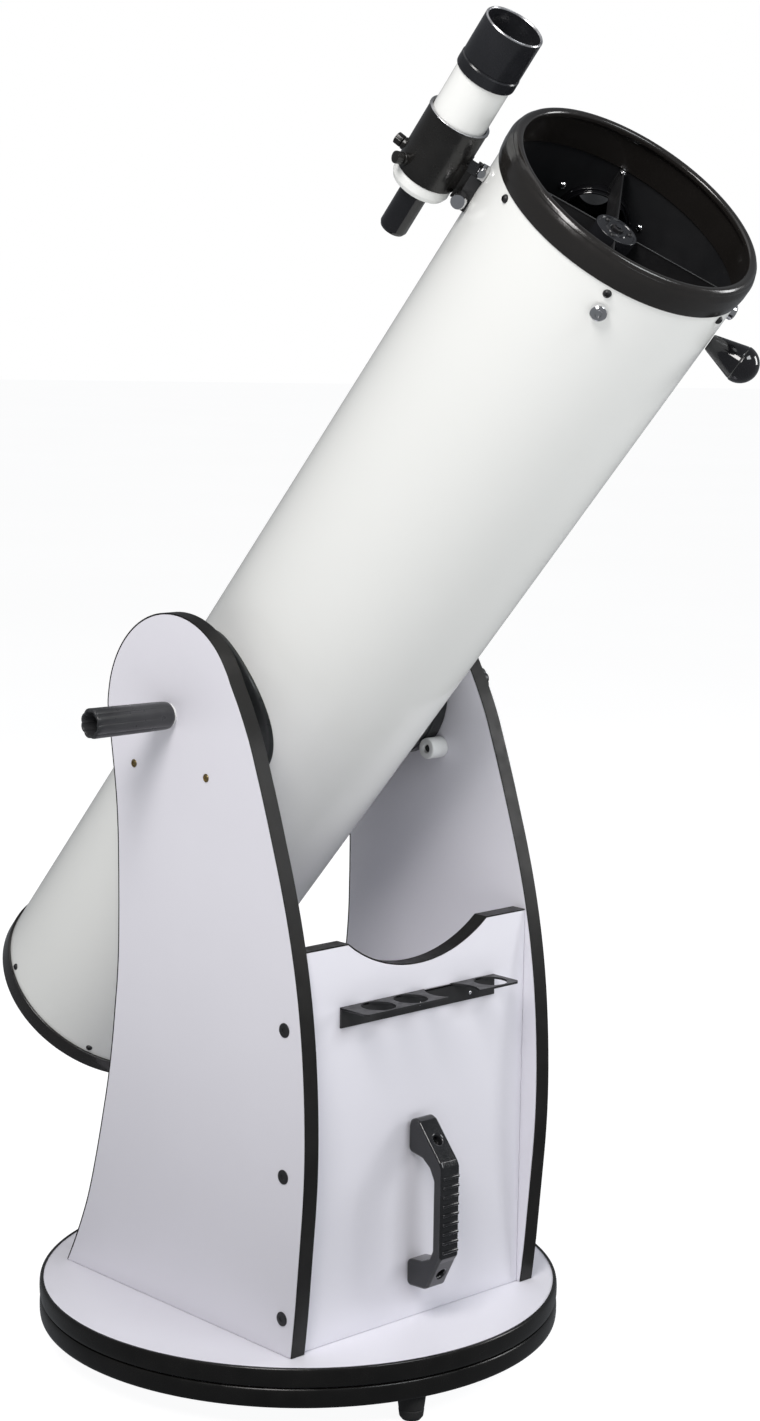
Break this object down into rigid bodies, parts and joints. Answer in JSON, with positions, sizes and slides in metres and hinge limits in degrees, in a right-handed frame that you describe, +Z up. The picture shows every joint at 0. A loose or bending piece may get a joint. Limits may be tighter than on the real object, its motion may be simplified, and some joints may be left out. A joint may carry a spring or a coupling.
{
  "type": "dobsonian telescope",
  "caption": "Solid-tube reflecting telescope on a rotating floor-standing rocker box, with finder, focuser, altitude clamp handles and eyepiece rack.",
  "frame": {"origin": "on the floor plane, at the middle of the overall footprint box; the azimuth pivot stands 44.4 mm behind it", "axes": "+Z up, +X along the altitude axis towards the focuser side, -Y towards the side that the open mouth of the tube points to at rest"},
  "size_m": [0.5052, 0.8824, 1.2271],
  "materials": {
    "rubber_black": "matte",
    "laminate_white": "satin",
    "edge_black": "satin",
    "band_grey": "satin",
    "nylon_white": "satin",
    "bolt_steel": "satin",
    "rack_black": "satin",
    "plastic_dark": "satin",
    "grip_grey": "satin",
    "tube_white": "gloss",
    "cast_black": "satin",
    "bearing_black": "satin",
    "spider_black": "matte",
    "chrome_nut": "polished",
    "mirror_glass": "polished",
    "cell_black": "satin",
    "focuser_black": "satin",
    "knob_steel": "satin",
    "gloss_black": "gloss",
    "finder_white": "gloss",
    "finder_black": "satin",
    "shield_black": "satin",
    "lens_glass": "polished"
  },
  "bodies": {
    "base": {"foot_1": "rubber_black", "foot_2": "rubber_black", "foot_3": "rubber_black", "ground_board": "laminate_white", "ground_board_edge": "edge_black", "glide_pad_1": "nylon_white", "glide_pad_2": "nylon_white", "glide_pad_3": "nylon_white", "pivot_bolt": "bolt_steel", "pivot_nut": "bolt_steel"},
    "rocker": {"azimuth_board": "laminate_white", "azimuth_board_edge": "edge_black", "side_panel_left": "laminate_white", "side_panel_left_edge": "band_grey", "side_panel_right": "laminate_white", "side_panel_right_edge": "band_grey", "front_panel": "laminate_white", "front_panel_edge": "band_grey", "eyepiece_rack": "rack_black", "carry_handle": "plastic_dark", "bearing_post_left_front": "nylon_white", "bearing_post_left_rear": "nylon_white", "bearing_post_right_front": "nylon_white", "bearing_post_right_rear": "nylon_white"},
    "tube": {"main_tube": "tube_white", "front_ring": "cast_black", "rear_ring": "cast_black", "altitude_bearing_left": "bearing_black", "altitude_bearing_right": "bearing_black", "spider": "spider_black", "spider_nut_1": "chrome_nut", "spider_nut_2": "chrome_nut", "spider_nut_3": "chrome_nut", "spider_nut_4": "chrome_nut", "secondary_holder": "cell_black", "secondary_mirror": "mirror_glass", "mirror_cell": "cell_black", "mirror_plate": "cell_black", "primary_mirror": "mirror_glass", "focuser_base": "focuser_black", "finder_shoe": "finder_black", "finder_bracket": "finder_black", "finder_tube": "finder_white", "finder_lens": "lens_glass", "finder_eyepiece": "finder_black", "steering_knob": "gloss_black"},
    "tension_handle_left": {"tension_handle_left": "grip_grey"},
    "tension_handle_right": {"tension_handle_right": "grip_grey"},
    "drawtube": {"drawtube": "focuser_black", "eyepiece_adapter": "focuser_black"},
    "drawtube_clamp_screw": {"drawtube_clamp_screw": "chrome_nut"},
    "focus_knobs": {"focus_knobs": "focuser_black"},
    "finder_shoe_screw": {"finder_shoe_screw": "chrome_nut"},
    "finder_align_screw_1": {"finder_align_screw_1": "finder_black"},
    "finder_align_screw_2": {"finder_align_screw_2": "finder_black"},
    "finder_spring_plunger": {"finder_spring_plunger": "chrome_nut"},
    "dew_shield": {"dew_shield": "shield_black"},
    "collimation_knob_1": {"collimation_knob_1": "knob_steel"},
    "collimation_knob_2": {"collimation_knob_2": "knob_steel"},
    "collimation_knob_3": {"collimation_knob_3": "knob_steel"}
  },
  "joints": [
    {"name": "azimuth", "type": "hinge", "parent": "base", "child": "rocker", "pos_m": [0, 0.0444, 0.0455], "axis": [0, 0, 1], "continuous": true},
    {"name": "altitude", "type": "hinge", "parent": "rocker", "child": "tube", "pos_m": [0, 0.0534, 0.625], "axis": [1, 0, 0], "range_deg": [-41.95, 48.05]},
    {"name": "tension_handle_left_turn", "type": "hinge", "parent": "tube", "child": "tension_handle_left", "pos_m": [-0.2, 0.0534, 0.625], "axis": [-1, 0, 0], "range_deg": [0, 720]},
    {"name": "tension_handle_right_turn", "type": "hinge", "parent": "tube", "child": "tension_handle_right", "pos_m": [0.2, 0.0534, 0.625], "axis": [1, 0, 0], "range_deg": [0, 720]},
    {"name": "focus_travel", "type": "slide", "parent": "tube", "child": "drawtube", "axis": [0.682, 0.5439, 0.4889], "range_m": [-0.018, 0.02]},
    {"name": "focus_knobs_turn", "type": "hinge", "parent": "tube", "child": "focus_knobs", "pos_m": [0.09889, -0.19609, 1.06121], "axis": [-0.7314, 0.5072, 0.4559], "range_deg": [-350, 385]},
    {"name": "drawtube_clamp_turn", "type": "hinge", "parent": "drawtube", "child": "drawtube_clamp_screw", "pos_m": [0.09692, -0.17563, 1.12302], "axis": [-0.7314, 0.5072, 0.4559], "range_deg": [0, 720]},
    {"name": "finder_shoe_screw_turn", "type": "hinge", "parent": "tube", "child": "finder_shoe_screw", "pos_m": [-0.09123, -0.24351, 1.07883], "axis": [-0.7826, -0.463, -0.4161], "range_deg": [0, 720]},
    {"name": "finder_align_screw_1_turn", "type": "hinge", "parent": "tube", "child": "finder_align_screw_1", "pos_m": [-0.12997, -0.2111, 1.11064], "axis": [-0.9863, 0.1227, 0.1103], "range_deg": [-360, 720]},
    {"name": "finder_align_screw_2_turn", "type": "hinge", "parent": "tube", "child": "finder_align_screw_2", "pos_m": [-0.11111, -0.19282, 1.12707], "axis": [-0.4147, 0.6768, 0.6083], "range_deg": [-360, 720]},
    {"name": "finder_plunger_travel", "type": "slide", "parent": "tube", "child": "finder_spring_plunger", "axis": [0.9763, -0.161, -0.1447], "range_m": [0, 0.003], "stiffness_N_per_m": 800, "springref_m": -0.002},
    {"name": "finder_focus_turn", "type": "hinge", "parent": "tube", "child": "dew_shield", "pos_m": [-0.09742, -0.29002, 1.1903], "axis": [0, -0.6685, 0.7437], "range_deg": [-540, 540]},
    {"name": "collimation_knob_1_turn", "type": "hinge", "parent": "tube", "child": "collimation_knob_1", "pos_m": [0, 0.41575, 0.33555], "axis": [0, 0.6685, -0.7437], "range_deg": [-720, 720]},
    {"name": "collimation_knob_2_turn", "type": "hinge", "parent": "tube", "child": "collimation_knob_2", "pos_m": [-0.06582, 0.33097, 0.25934], "axis": [0, 0.6685, -0.7437], "range_deg": [-720, 720]},
    {"name": "collimation_knob_3_turn", "type": "hinge", "parent": "tube", "child": "collimation_knob_3", "pos_m": [0.06582, 0.33097, 0.25934], "axis": [0, 0.6685, -0.7437], "range_deg": [-720, 720]}
  ],
  "couplings": [
    {"joint": "focus_knobs_turn", "follows": "focus_travel", "rad_per_m": 333.33}
  ]
}
